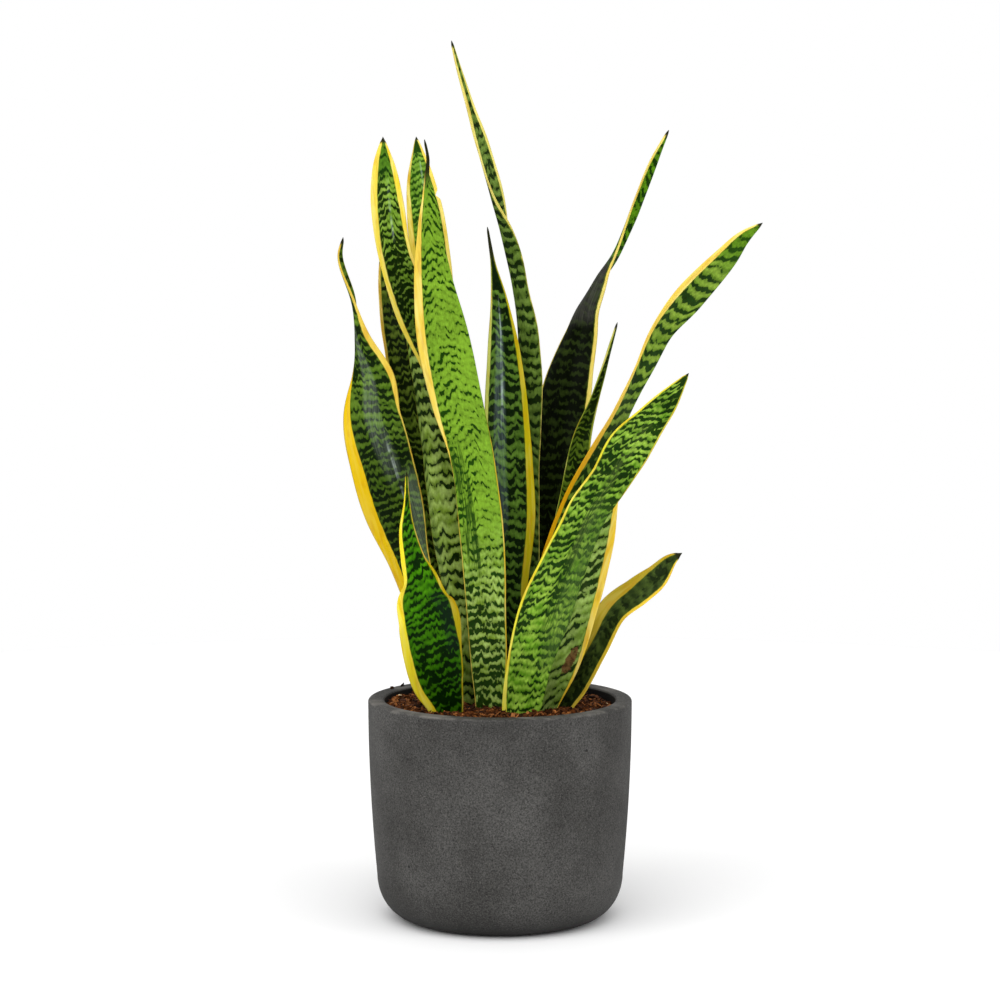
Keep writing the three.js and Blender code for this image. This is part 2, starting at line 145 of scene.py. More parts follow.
# Each leaf's ripple, and its rows from foot to tip: (x, y, z, width, turn, cup, yellow margin at
# the minus edge, yellow margin at the plus edge). What a row leaves out at its end is as in the
# row before. Turn is in degrees: at 0 the inner face looks to the viewer and the minus edge is on
# the left. A margin below 0 leaves its edge green.
LEAVES = {}
LEAVES["leaf_01"] = (2.0, [
    (-43, -13, 128, 12, 180, 0.2, 0.8, 6), (-44, -12, 160, 17, 180, 0.25),
    (-48, -15, 192.5, 20, 180, 0.22, 0.8, 6.5), (-55, -19, 229.5, 25, 180, 0.18, 0.8, 7),
    (-67.5, -24, 272, 31, 180, 0.15, 0.8, 7.5), (-78.5, -29, 309.5, 44.5, 178, 0.13, 0.8, 10),
    (-88, -35, 346, 47.5, 174, 0.12), (-95.7, -40, 381, 46.5, 166, 0.12, 1, 7.3),
    (-96, -45, 411, 37.5, 150, 0.14, 3.2, 1.5), (-103.6, -50, 441.5, 19, 122, 0.2, 2.5, 0.3),
    (-107.5, -54, 468.5, 9, 95, 0.2, 1), (-116.5, -59, 498, 5.5, 60, 0.15, 0.5),
    (-114, -62, 515.5, 1.6, 40, 0, 0.3),
])
LEAVES["leaf_02"] = (0.6, [
    (-13, 2, 126, 12, 0, 0.2, 2, 2.5), (-10, 4, 160, 18, 0, 0.22), (-8.5, 6, 205, 25.5, 8, 0.18),
    (-11, 6, 260, 29.5, 12, 0.15), (-16.5, 6, 320, 32, 16, 0.13), (-28, 5, 375, 33.5, 18, 0.12),
    (-44, 4, 420, 32.5, 15, 0.11), (-63, 5, 458, 31.5, 12, 0.1, 3.8, 2.2),
    (-78.5, 5, 499, 25.5, 14, 0.1, 3.6, 2), (-84.5, 5, 536, 26, 16, 0.1, 5.2, 3.9),
    (-87, 6, 566, 18.5, 16, 0.1, 4.5, 3.4), (-87.5, 6, 590, 1.6, 10, 0, 0.8, 0.6),
])
LEAVES["leaf_03"] = (0.6, [
    (-12, 15, 128, 11, 0, 0.2, 2.5, 3), (-13, 22, 160, 17, -6, 0.22),
    (-21, 30, 214.5, 25, -14, 0.18), (-31, 40, 283.5, 30, -20, 0.15),
    (-39.5, 49, 354, 34.5, -24, 0.13, 2.8), (-47.5, 58, 424, 37.5, -26, 0.12, 3.2, 3.2),
    (-51, 69, 489.5, 35, -26, 0.12, 4.4, 3.5), (-55.5, 76, 528.5, 33, -26, 0.12, 4.2),
    (-60.7, 82, 559, 23.5, -24, 0.1, 2.6, 3), (-65, 88, 592.5, 1.6, -20, 0, 0.5, 0.5),
])
LEAVES["leaf_04"] = (0.5, [
    (-10, -12, 126, 13, 0, 0.2, 0.5, 1), (-8, -17, 160, 20, 0, 0.22),
    (-7.8, -18, 194.5, 27, -6, 0.18, 0.4), (-9, -19, 229.5, 30, -12, 0.15),
    (-12.2, -21, 290, 34, -14, 0.13, 0.4, 0.9), (-19.5, -23, 349.5, 33, -12, 0.12, 0.3, 0.5),
    (-32, -25, 395, 38, -2, 0.12, 4.2, -0.3), (-42.5, -27, 440, 39, 6, 0.12, 6.8, -0.7),
    (-50, -29, 484, 29, 10, 0.13, 6.2, -0.8), (-52.6, -31, 521, 17.7, 12, 0.15, 3),
    (-52.5, -32, 543.5, 10.4, 10, 0.15, 1.2), (-53.7, -33, 559, 4, 0, 0.1, 0.8),
    (-53, -33, 573, 2.4, 0, 0, 0.5, -1), (-55.5, -34, 587, 1.6, 0, 0, 0.3),
])
LEAVES["leaf_05"] = (0.6, [
    (-34, 12, 128, 11, 0, 0.2, 2.5, 3), (-36, 17, 160, 17, 8, 0.22), (-46, 28, 237, 24, 18, 0.18),
    (-59.5, 37, 314.5, 29, 26, 0.14), (-70, 44, 375, 31.5, 30, 0.12), (-76.5, 49, 425, 29.5),
    (-82, 54, 452, 24.5, 30, 0.1), (-86.5, 58, 474.5, 17.5, 28),
    (-92, 62, 500, 1.6, 25, 0, 0.5, 0.5),
])
LEAVES["leaf_06"] = (0.4, [
    (-27, 1, 127, 12, 180, 0.2, -0.2, 0.1), (-26, 3, 160, 18), (-25, 6, 196, 22.5, 178, 0.16),
    (-28, 9, 238, 28, 172, 0.13), (-36.5, 12, 287.5, 34, 162), (-42.5, 15, 327.5, 35, 157),
    (-48.5, 19, 369.5, 33, 154), (-56, 22, 413.5, 29, 155), (-64, 25, 447, 22, 158, 0.12),
    (-73, 28, 475, 13, 160, 0.1), (-79, 30, 496.5, 1.6, 160, 0, -0.2, 0.2),
])
LEAVES["leaf_07"] = (0.5, [
    (8, -3, 127, 12, 0, 0.2, 0.9, 4), (9, -4, 160, 18, 4, 0.22), (10, -3, 200, 22, 8, 0.2),
    (6.5, -1, 248.5, 27, 12, 0.17, 1, 4.5), (7, 1, 301.5, 37.5, 15, 0.15, 1.4, 6),
    (4.7, 2, 347.5, 38.5, 16, 0.14, 2.4, 5), (3.2, 4, 392.5, 33, 16, 0.15, 3, 3.6),
    (1.8, 5, 430.5, 25, 15, 0.15, 2.6, 2.8), (-1, 6, 467.5, 13.5, 12, 0.15, 1.2, 1.2),
    (-5, 7, 494, 4.5, 8, 0.1, 0.4, 0.6), (-8, 8, 513, 2.2, 0, 0, 0.2, 0.3),
    (-9.5, 8, 523, 1.6, 0, 0, 0.2, 0.2),
])
LEAVES["leaf_08"] = (1.2, [
    (-39, -25, 128, 13, 0, 0.2, 5, 1), (-40, -32, 163, 25, 0, 0.22, 5.2),
    (-47, -36, 186.5, 39, 6, 0.16, 6.3), (-51, -41, 209, 44.5, 10, 0.13, 6.5, 1.3),
    (-53.4, -46, 232.5, 47, 12, 0.12, 5.6, 4.8), (-57.6, -50, 248, 40.5, 12, 0.12, 4.8, 2.5),
    (-59.1, -54, 263.5, 27.3, 12, 0.12, 2.6, 2.3), (-64.3, -57, 279, 18.8, 10, 0.12, 3.3, 0.9),
    (-68.1, -63, 301, 12, 8, 0.12, 2, 0.7), (-68, -69, 323.5, 4.5, 0, 0.1, 1, 0.5),
    (-68, -74, 345.5, 1.6, 0, 0, 0.3, 0.3),
])
LEAVES["leaf_09"] = (0.3, [
    (16, 9, 127, 12, 180, 0.2, 0.2, 0.3), (15, 11, 160, 18, 175, 0.22),
    (15, 12, 208, 24, 168, 0.2), (16, 15, 270, 26, 162), (16.8, 20, 340, 24.4, 156),
    (19.5, 25, 399.5, 24, 150), (19, 28, 439.5, 21, 140),
    (12.3, 32, 477.5, 19, 126, 0.22, 0.2, 0.4), (4, 35, 510, 18, 114, 0.36, 0.2, 0.6),
    (-4.6, 38, 542, 16, 68, 0.36, 1.4, 1.2), (-14.2, 42, 581.5, 15, 48, 0.2, 3, 2),
    (-22.8, 46, 612, 9.5, 45, 0.15, 3, 2.5), (-31.5, 49, 642.5, 5, 45, 0.1, 1, 1.5),
    (-37, 52, 664, 1.6, 45, 0, 0.4, 0.4),
])
LEAVES["leaf_10"] = (0.4, [
    (27, 14, 128, 12, 180, 0.2, 2.8, 0.8), (27, 20, 160, 20, 178, 0.22),
    (29, 25, 206, 33.5, 168, 0.16), (37, 35, 267, 44, 162, 0.13, 2.9, 1.1),
    (44, 45, 329.5, 45, 157, 0.11, 3), (46.5, 54, 375.5, 43, 155),
    (51, 59, 405.5, 41, 152, 0.12, 2.7), (59.5, 65, 436.5, 30.5, 150, 0.15, 2.2),
    (64.3, 70, 459.5, 26, 130, 0.2, 1.6), (75, 74, 482.5, 20, 100, 0.3, 1.2, 0.4),
    (90, 79, 505, 12, 75, 0.25, 1.2, -1), (106.5, 87, 544, 10.5, 45, 0.2, 1.8),
    (117.5, 92, 570.5, 9, 40, 0.15), (131.5, 98, 598, 1.6, 40, 0, 0.5),
])
LEAVES["leaf_11"] = (0.3, [
    (33, 5, 128, 10, 0, 0.2, 0.5, 0.6), (34, 8, 160, 13, -5, 0.25),
    (37, 11, 208.5, 18.5, -10, 0.2), (47, 17, 270, 21.5, -12, 0.2, 0.5, 0.8),
    (56.5, 21, 316.5, 22, -8, 0.2, 0.5, 1.2), (62, 26, 361, 14.5, 0),
    (71.5, 29, 392, 7.5, 20, 0.2, 0.5, 0.8), (81, 33, 422.5, 5, 50, 0.1, 0.5, 0.6),
    (89.5, 36, 450.5, 1.6, 50, 0, 0.3, 0.4),
])
LEAVES["leaf_12"] = (0.5, [
    (22, -9, 127, 12, 0, 0.2, 2.5, -0.8), (22, -12, 160, 18, -5, 0.22),
    (27, -11, 211, 24.5, -12, 0.18), (45, -8, 271.5, 28, -15, 0.15, 2.8),
    (61.5, -3, 317.5, 27, -5, 0.13, 3), (77.5, 3, 355, 21, 15, 0.13, 3.9),
    (91, 8, 386, 17.5, 45, 0.15, 4), (105.9, 14, 415, 20, 42, 0.15, 3),
    (122, 22, 445.5, 20.5, 25, 0.13, 3.6), (144.3, 29, 471, 23, 8, 0.12, 4.6),
    (170, 37, 497.5, 18, 0, 0.12, 3.6), (184.7, 42, 514, 11, 0, 0.1, 2.2),
    (200.5, 46, 526, 1.6, 0, 0, 0.5),
])
LEAVES["leaf_13"] = (0.8, [
    (14, -22, 126, 14, 0, 0.2, 4, -1), (15.5, -29, 160, 28, 0, 0.2, 3.5),
    (22.3, -36, 201, 33.5, 0, 0.15, 1.6), (34, -45, 240, 39, -5, 0.12), (49, -56, 278.5, 34, -12),
    (58, -62, 300.5, 30.5), (65.5, -67, 318, 29.5, -8, 0.1, 1.4, -0.8),
    (80, -73, 340, 29, 0, 0.1, 1.4, 0.5), (93.5, -81, 364, 32, 0, 0.1, 1.4, 0.9),
    (109, -87, 384, 23.5, 0, 0.1, 1.4, 1), (121, -92, 399, 16.5, 0, 0.1, 1.2),
    (135.5, -98, 418.5, 1.6, 0, 0, 0.4, 0.4),
])
LEAVES["leaf_14"] = (0.4, [
    (35, -14, 128, 12, 0, 0.2, -1, 0.5), (32.5, -19, 160, 18, 8, 0.22, -1, 0.6),
    (43.3, -24, 199.5, 32, 14, 0.18, -1, 2.3), (54, -30, 245.5, 39, 18, 0.15, -1, 4.4),
    (64, -36, 284, 38, 20, 0.14, -1, 5), (72, -40, 311, 29.5, 20, 0.13, -1, 4),
    (81.5, -43, 334, 14.5, 18, 0.1, -1, 2), (88, -46, 351, 1.6, 15, 0, -1, 0.5),
])
LEAVES["leaf_15"] = (0.5, [
    (44, -7, 128, 12, -15, 0.22, 3, 2.5), (46, -9, 158, 17, -18, 0.28, 3.5),
    (58, -12, 180, 22, -20, 0.3, 5, 3), (72, -18, 208.5, 23, -20, 0.3, 7.5),
    (85, -23, 236, 22.5, -15, 0.3, 8, 2.6), (102.7, -27, 251.5, 21.5, -10, 0.28, 6, 2.2),
    (115.7, -29, 262.5, 19, -5, 0.22, 3.5, 1.8), (126, -32, 275, 11, 0, 0.15, 2, 1.2),
    (135.5, -34, 281.5, 1.6, 0, 0, 0.5, 0.4),
])

# How the leaves look. Colours are as a screen shows them, from 0 to 255, lengths are in
# millimetres, and places across run from -1 at the minus edge to 1 at the plus edge. Each leaf's
# colours are partly its own and partly painted light and shade: leaves in shade are painted
# darker.
# light, light2, dark, cover: the two light greens, the dark green and its share.
# period, beat, loose: the spacing of the cross bands, how regular they are, and how much their
# thickness varies. ragged, zone, gaps, cross: how torn they are, how much they differ from zone to
# zone, how much they break up, and how fast they change across.
# teeth, comb, drift, lean: pitch and depth of a band's teeth, their fine fringe, how far bands
# stray, and how much darker the plus side is.
# course: how far towards the tip a band lies at the minus edge, halfway, in the middle, halfway
# and at the plus edge. course2 replaces it between two places along the leaf.
# dense, upper, shade_along, gold_shade: between two places along the leaf the bands thicken, the
# greens change, the tone goes from one factor to another as painted shade, and the margins are
# painted the deeper gold that yellow takes on in shade.
# bare thins the bands in ovals: (along, reach, place across, half width, how much).
# marks are long streaks, some the leaf's own, some painted shade and one a painted grey sheen,
# and shine long pale reflections painted into the colour: (from, place across there, to, place
# across there, half width, strength, colour, streakiness).
# scar is a dry brown oval: (along, reach, place across, half width, slant).
# tip is the length of the dry tip, and shade_foot how light the shaded foot is.
# minus, plus, cream: the yellows of the two margins, and how creamy their streaks are.
BASE_STYLE = dict(
    light=(100, 140, 48), light2=(128, 160, 66), dark=(22, 48, 10), cover=0.5,
    period=6.5, beat=0.13, loose=0.8, ragged=0.42, zone=0.36, gaps=0.12, cross=0.09,
    teeth=(4.5, 1.6), comb=1.0, drift=9, lean=0,
    course=(-1, 0, 0.5, 0, -1), course2=None,
    dense=[], bare=[], shade_along=None, upper=None, marks=[], shine=[], scar=None, tip=7,
    shade_foot=0.6, cream=1.0, gold_shade=None, minus=(236, 198, 44), plus=(236, 198, 44),
)
STYLES = {}
STYLES["leaf_01"] = dict(
    slot="leaf_deep", light=(68, 100, 18), light2=(94, 124, 38), dark=(8, 26, 2),
    cover=0.56, period=6, teeth=(3.6, 1.2), shade_along=(200, 290, 0.58, 1.06),
    minus=(230, 200, 78), plus=(232, 194, 14), cream=0.2, shine=[
        (200, -0.4, 350, 0.3, 0.36, 0.42, (112, 120, 112), 0.5),
        (192, -0.48, 245, -0.36, 0.06, 0.9, (150, 160, 156), 0.6),
        (120, -0.6, 225, -0.98, 0.42, 0.8, (112, 126, 104), 0.4),
    ],
)
STYLES["leaf_02"] = dict(
    slot="leaf_mid", light=(104, 144, 36), light2=(138, 172, 66), dark=(8, 30, 2),
    cover=0.56, period=5.5, course=(-3, 0, 3, 0, -3), teeth=(3.2, 1.4),
    shade_along=(345, 430, 0.5, 1.18), dense=[(440, 460, -0.16), (400, 340, 0.08)], tip=6,
    upper=(436, 456, (80, 124, 30), (20, 54, 8)), ragged=0.48,
    minus=(248, 224, 82), plus=(246, 218, 60), shine=[
        (396, 0.12, 450, 0.2, 0.1, 0.6, (130, 140, 136), 0.8),
    ],
)
STYLES["leaf_03"] = dict(
    slot="leaf_deep", light=(80, 122, 22), light2=(120, 162, 52), dark=(24, 58, 4),
    cover=0.52, period=4.8, course=(-3, 0, 1, 0, -2), teeth=(3.0, 1.0), ragged=0.5,
    shade_along=(330, 430, 0.75, 1.15), dense=[(458, 464, 0.5)], tip=4,
    minus=(206, 182, 56), plus=(244, 216, 86), shine=[
        (405, 0.05, 462, 0.16, 0.12, 0.55, (130, 144, 136), 0.8),
    ],
)
# leaf_04's marks: its own dark streaks, and painted shade along a fold
STYLES["leaf_04"] = dict(
    slot="leaf_bright", light=(120, 152, 46), light2=(176, 204, 108), dark=(20, 50, 6),
    cover=0.37, shade_foot=0.95, upper=(110, 190, (122, 164, 44), (16, 54, 4)), period=7.0,
    beat=0.15, loose=0.75, ragged=0.56, zone=0.24, gaps=0.2, cross=0.1, teeth=(3.6, 1.6),
    drift=8, lean=-0.06, course=(-5, -3, 2.5, -3, -9), course2=(230, 150, (-1, 1, 1, 1, -1)),
    dense=[(165, 95, 0.19), (340, 390, 0.04)], bare=[(205, 75, 0.4, 0.75, 0.04)], tip=40,
    minus=(246, 214, 84), plus=(216, 186, 50), marks=[
        (128, -0.46, 252, -0.74, 0.36, 0.9, (36, 68, 16), 0.9),
        (130, -0.22, 222, -0.44, 0.1, 0.9, (26, 58, 12), 0.0),
    ],
)
# leaf_05 lies in shade: its greens and margins are painted darker
STYLES["leaf_05"] = dict(
    slot="leaf_dark", light=(68, 90, 20), light2=(104, 126, 42), dark=(8, 20, 0),
    cover=0.55, minus=(200, 166, 60), plus=(200, 166, 60),
)
STYLES["leaf_06"] = dict(
    slot="leaf_pale", light=(122, 152, 50), light2=(164, 190, 98), dark=(8, 30, 0),
    cover=0.4, period=9.4, beat=0.2, loose=0.75, ragged=0.34, zone=0.16,
    cross=0.06, teeth=(5.6, 2.3), comb=0.9, course=(1, 0, -1, 0, -3), drift=4,
    dense=[(230, 280, 0.08)], shade_along=(200, 270, 1.0, 0.78), shade_foot=0.8, marks=[
        (20, 0.85, 330, 0.85, 0.26, 0.45, (44, 66, 30), 0.6),
    ],
)
# leaf_07: its plus margin is painted a darker ochre as shade, and its shine is painted reflections
STYLES["leaf_07"] = dict(
    slot="leaf_deep", light=(72, 106, 30), light2=(94, 128, 46), dark=(5, 20, 3),
    cover=0.56, period=7.5, teeth=(5.0, 1.6), course=(-2, 3, 0, 0, -1),
    dense=[(346, 356, 0.5)], shade_along=(200, 300, 0.92, 1.0), tip=30, cream=0.2,
    minus=(184, 190, 92), plus=(188, 172, 18), shine=[
        (150, -0.36, 345, -0.16, 0.34, 0.42, (100, 114, 118), 0.5),
        (240, -0.16, 350, -0.04, 0.08, 0.8, (150, 162, 164), 0.8),
    ],
)
# leaf_08: its plus margin is painted a darker ochre and its mark a dark haze on its plus side, as
# shade
STYLES["leaf_08"] = dict(
    slot="leaf_deep", light=(44, 102, 0), light2=(70, 134, 8), dark=(4, 30, 0),
    cover=0.52, teeth=(3.2, 1.2), course=(-4, -2, 0, 3, 5), tip=5, cream=0.5, shade_foot=0.5,
    minus=(252, 232, 46), plus=(176, 158, 12), marks=[
        (76, 0.9, 136, 0.62, 0.45, 0.6, (18, 34, 26), 0.3),
    ],
)
STYLES["leaf_09"] = dict(
    slot="leaf_pale", light=(82, 108, 36), light2=(112, 140, 60), dark=(14, 32, 4),
    cover=0.47, period=8.5, beat=0.14, zone=0.25, ragged=0.5, course=(-3, -1, 0, 1, 3),
    shade_along=(230, 330, 0.75, 1.0),
    minus=(222, 210, 100), plus=(222, 210, 100),
)
# leaf_10: its greens are partly painted shade below its twist, and painted lighter as a lit face
# above it
STYLES["leaf_10"] = dict(
    slot="leaf_dark", light=(30, 42, 12), light2=(44, 58, 18), dark=(5, 10, 1),
    cover=0.6, period=8, upper=(376, 386, (88, 140, 18), (16, 48, 4)),
    dense=[(372, 392, -0.04)],
    minus=(238, 214, 100), plus=(226, 200, 70), marks=[
        # A painted grey sheen
        (322, 0.1, 394, 0.1, 1.2, 0.7, (78, 78, 72), 0.5),
    ],
)
STYLES["leaf_11"] = dict(
    slot="leaf_dark", light=(68, 94, 20), light2=(90, 114, 30), dark=(12, 26, 2),
    cover=0.52, period=5, minus=(150, 168, 56), plus=(150, 158, 46),
)
STYLES["leaf_12"] = dict(
    slot="leaf_mid", light=(98, 132, 36), light2=(134, 164, 60), dark=(24, 50, 14),
    cover=0.46, period=10.5, beat=0.22, ragged=0.48, zone=0.3, gaps=0, cross=0.06,
    teeth=(5.2, 2.0), comb=1.1, drift=6, course=(0, -1, 0, 2, 8),
    course2=(380, 400, (-5, -2, 0, 3, 7)), dense=[(390, 415, -0.14), (270, 240, 0.1)],
    shade_along=(230, 300, 0.62, 1.0), upper=(395, 430, (90, 132, 26), (30, 64, 8)), tip=6,
    gold_shade=(320, 200), minus=(246, 214, 90), plus=(246, 214, 90), marks=[
        (180, 0.5, 300, 0.3, 0.9, 0.45, (62, 74, 40), 0.7),
    ],
)
STYLES["leaf_13"] = dict(
    slot="leaf_bright", light=(90, 138, 28), light2=(150, 188, 68), dark=(16, 44, 6),
    cover=0.53, period=6.9, beat=0.14, ragged=0.52, zone=0.45, gaps=0.15,
    teeth=(3.3, 1.6), drift=6, course=(-8, -4, 2, 8, 13), course2=(125, 60, (0, 0, 0, 3, 9)),
    shade_foot=1.0, dense=[(321, 327, 0.4), (110, 60, -0.06), (190, 240, 0.05)], tip=3,
    minus=(234, 224, 56), plus=(214, 206, 60), cream=0.5, marks=[
        (60, 0.85, 230, 0.6, 0.6, 0.7, (70, 98, 42), 0.5),
        (80, 0.28, 262, 0.02, 0.24, 0.8, (34, 62, 18), 0.8),
        (150, 0.3, 300, 0.00, 0.3, 0.2, (116, 134, 70), 1.0),
    ],
)
STYLES["leaf_14"] = dict(
    slot="leaf_pale", light=(132, 166, 62), light2=(172, 200, 106), dark=(22, 46, 6),
    cover=0.46, period=9, beat=0.16, teeth=(4.4, 1.4), course=(-17, -8, 0, 9, 18), tip=4,
    minus=(232, 206, 80), plus=(255, 214, 60), marks=[
        (20, -0.6, 190, -0.6, 0.5, 0.3, (96, 122, 62), 1.0),
    ], scar=(76, 10.5, 0.53, 0.21, 0.012),
)
# leaf_15: its minus margin is painted a darker olive as shade
STYLES["leaf_15"] = dict(
    slot="leaf_dark", light=(46, 62, 24), light2=(80, 100, 42), dark=(28, 40, 16),
    period=9, beat=0.04, cream=0.25, minus=(186, 164, 42), plus=(240, 206, 60),
)

# Colours that the leaves share
TIP_BROWN = (38, 40, 20)
EDGE_BROWN = (140, 96, 20)
SCAR_BROWN = (86, 52, 28)
SCAR_TAN = (134, 90, 56)
STAIN_ORANGE = (206, 140, 16)
CREAM = (255, 240, 140)
# The deeper gold of a margin in shade, painted
GOLD_IN_SHADE = (222, 164, 16)
BORDER_GREEN = (90, 112, 24)
# The noises on a leaf: how fast each changes across and along it, what is added to the leaf's
# seed for it, and its detail
LEAF_NOISES = dict(
    drift=(0.04, 0.03, 0, 1), shift=(0, 0.05, 4, 1), comb=(0.5, 0.1, 2, 2),
    ragged=(0.6, 0.26, 23, 3), zone=(0.045, 0.02, 31, 1), breaks=(0.2, 0.22, 37, 1),
    fibre=(1.3, 0.03, 3, 3), blotch=(0.12, 0.07, 5, 2), patch=(0.03, 0.06, 9, 2),
    fleck=(0.5, 0.4, 6, 3), wobble=(0, 0.16, 7, 2), tint=(0.35, 0.03, 13, 3),
    stain=(0.3, 0.06, 17, 2), speck=(0.9, 0.9, 19, 1), wax=(0.15, 0.08, 29, 3),
    streak=(1.5, 0.035, 0, 2), pause=(0, 0.14, 1, 2),
)
# A leaf's seed is its number times the first of these, plus the second
LEAF_SEEDS = (10.37, 0.43)
# What is added to it for the bands' rows, the scar, the first mark and shine, and each one more
ROW_SEED, SCAR_SEED, MARK_SEED, SHINE_SEED, NEXT_SEED = 11, 71, 43, 61, 3
# A course is drawn as a curve whose full height stands for these millimetres
COURSE_SPAN = 40
# Where in its band the light green is palest
SWELL_PHASE = 2.4
# A streak with a half width below this breaks up
THIN_STREAK = 0.15
# Between these places a leaf comes out of the shade of its foot
FOOT_SHADE = (30, 150)


def srgb(red, green, blue):
    """A colour as a screen shows it, from 0 to 255, as the linear colour that a shader takes."""
    def linear(value):
        share = value / 255
        return share / 12.92 if share < 0.04045 else ((share + 0.055) / 1.055) ** 2.4
    return (linear(red), linear(green), linear(blue), 1.0)


class Value:
    """A number or a colour that nodes work out at each point."""

    def __init__(self, graph, socket):
        self.graph, self.socket = graph, socket

    def __add__(self, other):
        return self.graph.math("ADD", self, other)

    def __sub__(self, other):
        return self.graph.math("SUBTRACT", self, other)

    def __mul__(self, other):
        return self.graph.math("MULTIPLY", self, other)

    def __abs__(self):
        return self.graph.math("ABSOLUTE", self)

    def around(self, scale):
        """A noise, moved to lie around zero and scaled."""
        return (self - 0.5) * scale

    def smooth(self, zero, one, low=0.0, high=1.0):
        """A smooth step from low at one value to high at another, which may be smaller."""
        ends = (zero, one, low, high)
        return self.graph.value("MapRange", self, *ends, interpolation_type="SMOOTHSTEP")


class Graph:
    """The nodes of a world, or of a new material with a name."""

    def __init__(self, owner):
        if isinstance(owner, str):
            owner = bpy.data.materials.new(owner)
        owner.use_nodes = True
        self.owner = owner
        self.tree = owner.node_tree

    def put(self, socket, value):
        """Gives a socket a value, a number, or a colour as a screen shows it."""
        if isinstance(value, Value):
            self.tree.links.new(value.socket, socket)
        elif isinstance(value, tuple):
            socket.default_value = srgb(*value)[:len(socket.default_value)]
        else:
            socket.default_value = value

    def node(self, kind, *values, **settings):
        """A new node with these settings, and these values at its first inputs."""
        node = self.tree.nodes.new("ShaderNode" + kind)
        for name, value in settings.items():
            setattr(node, name, value)
        for socket, value in zip(node.inputs, values):
            self.put(socket, value)
        return node

    def value(self, kind, *values, output=0, **settings):
        return Value(self, self.node(kind, *values, **settings).outputs[output])

    def surface(self, **values):
        """Sets sockets of the surface, such as Base_Color or Roughness. Returns the material."""
        for name, value in values.items():
            self.put(self.tree.nodes["Principled BSDF"].inputs[name.replace("_", " ")], value)
        return self.owner

    def math(self, operation, *values):
        return self.value("Math", *values, operation=operation)

    def attribute(self, name):
        """A number that the mesh holds at each point."""
        return self.value("Attribute", output="Fac", attribute_name=name)

    def vector(self, x, y, z):
        return self.value("CombineXYZ", x, y, z)

    def place(self):
        """The point on the object, in metres."""
        return self.value("TexCoord", output="Object")

    def noise(self, place, scale=1.0, detail=2.0, roughness=0.5):
        return self.value("TexNoise", place, 0.0, scale, detail, roughness)

    def cells(self, place, scale=1.0):
        """Distance to the nearest of a set of scattered points."""
        return self.value("TexVoronoi", place, 0.0, scale)

    def mix(self, share, a, b):
        """Colour a, with this share of colour b."""
        node = self.node("Mix", share, data_type="RGBA")
        self.put(node.inputs[6], a)
        self.put(node.inputs[7], b)
        return Value(self, node.outputs[2])

    def shade(self, color, factor):
        """A colour made lighter or darker by a factor."""
        node = self.node("VectorMath", color, operation="SCALE")
        self.put(node.inputs["Scale"], factor)
        return Value(self, node.outputs[0])

    def vary(self, color, *noises):
        """A colour made lighter and darker by noises, each with its strength."""
        factor = noises[0][0].around(noises[0][1]) + 1.0
        for noise_value, strength in noises[1:]:
            factor += noise_value.around(strength)
        return self.shade(color, factor)

    def bump(self, height, strength, distance):
        """A normal from a height around 0 to 1 that stands for a distance in millimetres."""
        node = self.node("Bump", strength, distance * MM)
        self.put(node.inputs["Height"], height)
        return Value(self, node.outputs[0])


class LeafGraph(Graph):
    """The nodes of a leaf's material. Each leaf takes its noises from slices of its own."""

    def __init__(self, name, seed):
        super().__init__(name)
        self.seed = seed
        self.across = self.attribute("leaf_across")
        self.along = self.attribute("leaf_along")
        self.share = self.attribute("leaf_share")

    def leaf_noise(self, kind, more=0):
        across, along, offset, detail = LEAF_NOISES[kind]
        place = self.vector(self.across * across, self.along * along, self.seed + more + offset)
        return self.noise(place, detail=detail)


def leaf_course(g, offsets):
    """How far towards the tip a band lies at each place across, in millimetres."""
    node = g.node("FloatCurve")
    g.put(node.inputs["Value"], g.share * 0.5 + 0.5)
    curve = node.mapping.curves[0]
    while len(curve.points) < len(offsets):
        curve.points.new(0.5, 0.5)
    for point, offset, place in zip(curve.points, offsets, np.linspace(0, 1, len(offsets))):
        point.location = (place, 0.5 + offset / COURSE_SPAN)
    node.mapping.update()
    return Value(g, node.outputs[0]).around(COURSE_SPAN)


def band_height(g, style):
    """How far along the leaf each point lies, with its band's course and teeth taken off."""
    pitch, depth = style["teeth"]
    course = leaf_course(g, style["course"])
    if style["course2"]:
        start, end, offsets = style["course2"]
        course += g.along.smooth(start, end) * (leaf_course(g, offsets) - course)
    place = (g.across + g.leaf_noise("shift").around(3.0)) * (1 / pitch)
    teeth = g.cells(g.vector(place, g.along * 0.04, g.seed))
    height = g.along - course + g.leaf_noise("drift").around(style["drift"])
    height -= teeth * teeth * (4 * depth)
    return height + g.leaf_noise("comb").around(3 * style["comb"])


def leaf_bands(g, style):
    """How dark the leaf's green is, how near that is, and where in its band each point lies."""
    height = band_height(g, style)
    y = height * (0.75 / style["period"])
    rows = g.noise(g.vector(g.across * style["cross"], y, g.seed + ROW_SEED))
    phase = height * (2 * math.pi / style["period"])
    value = rows.around(style["loose"]) + g.math("SINE", phase) * style["beat"]
    for kind in ("ragged", "zone"):
        value += g.leaf_noise(kind).around(style[kind])
    if style["gaps"]:
        value -= g.leaf_noise("breaks").smooth(0.46, 0.64) * style["gaps"]
    value += g.share * style["lean"]
    for start, end, more in style["dense"]:
        value += g.along.smooth(start, end) * more
    for middle, reach, side, half, less in style["bare"]:
        far, aside = abs(g.along - middle), abs(g.share - side)
        value -= far.smooth(reach, reach * 0.4) * aside.smooth(half, half * 0.4) * less
    limit = (0.5 - style["cover"]) * (0.5 + 1.6 * style["beat"])
    dark = value.smooth(limit - 0.03, limit + 0.05)
    halo = value.smooth(limit - 0.26, limit)
    return dark, halo, g.math("SINE", phase + SWELL_PHASE)


